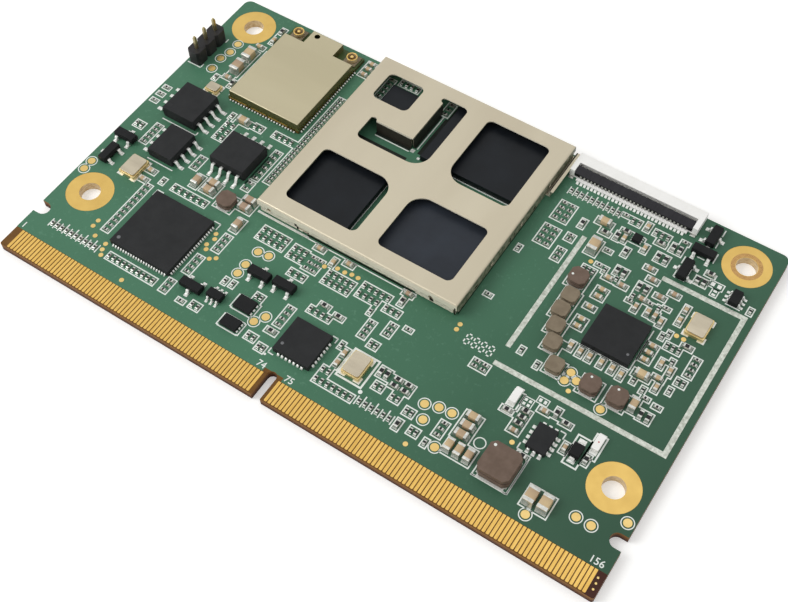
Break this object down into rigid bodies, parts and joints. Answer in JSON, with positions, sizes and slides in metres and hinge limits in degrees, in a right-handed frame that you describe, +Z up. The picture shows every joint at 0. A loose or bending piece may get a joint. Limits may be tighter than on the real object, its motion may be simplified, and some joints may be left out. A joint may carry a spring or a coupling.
{
  "type": "system on module",
  "caption": "Card-edge computer module with a windowed clip-on shield, a radio module, a pin header and a flip-lock flex connector.",
  "frame": {"origin": "middle of the board's underside", "axes": "+X along the contact edge from contact 1, +Y from the contact edge to the back, +Z up"},
  "size_m": [0.082, 0.05, 0.0055],
  "materials": {
    "mask": "semi-gloss green mask",
    "gold": "gold plating",
    "tin": "bright solder",
    "shield_sheet": "satin nickel silver",
    "mould": "matt mould compound",
    "package": "satin package top",
    "radio_mask": "dark green mask",
    "black_plastic": "black plastic",
    "pale_plastic": "pale plastic",
    "pin_metal": "pale gold pins",
    "crystal_lid": "satin lid",
    "ferrite": "matt ferrite",
    "ceramic": "tan ceramic",
    "resistor": "black glaze"
  },
  "bodies": {
    "module": {"circuit_board": "mask", "edge_contacts_top": "gold", "edge_contacts_bottom": "gold", "hole_plating": "gold", "test_pads": "gold", "tinned_strips": "tin", "shield_frame": "shield_sheet", "shield_cover": "shield_sheet", "processor": "package", "memory_front": "package", "memory_rear": "package", "companion_chip": "mould", "radio_board": "radio_mask", "radio_can": "shield_sheet", "radio_lands": "tin", "coax_insulators": "pale_plastic", "coax_shells": "gold", "coax_pins": "gold", "header_insulator": "black_plastic", "header_pins": "pin_metal", "flex_housing": "pale_plastic", "flex_contacts": "tin", "flex_hold_downs": "tin", "hub_chip": "mould", "bridge_chip": "mould", "flat_chip_leads": "tin", "power_manager": "mould", "converter_chip": "mould", "converter_leads": "tin", "wide_eight_lead_bodies": "mould", "narrow_eight_lead_body": "mould", "eight_lead_legs": "tin", "transistor_bodies": "mould", "transistor_legs": "tin", "six_lead_bodies": "mould", "six_lead_legs": "tin", "no_lead_chips": "mould", "no_lead_lands": "tin", "diode_body": "mould", "diode_legs": "tin", "lamps": "pale_plastic", "crystal_bases": "gold", "crystal_lids": "crystal_lid", "choke_core": "ferrite", "choke_terminals": "tin", "coil_cores": "ferrite", "coil_terminals": "tin", "chip_coil_bodies": "ferrite", "chip_coil_ends": "tin", "large_capacitors": "ceramic", "large_capacitor_ends": "tin", "small_capacitors": "ceramic", "small_capacitor_ends": "tin", "chip_resistors": "resistor", "chip_resistor_ends": "tin"},
    "flip_lock": {"flip_lock": "black_plastic"}
  },
  "joints": [
    {"name": "lock_flip", "type": "hinge", "parent": "module", "child": "flip_lock", "pos_m": [0.02105, 0.0228, 0.00175], "axis": [-1, 0, 0], "range_deg": [0, 90]}
  ]
}
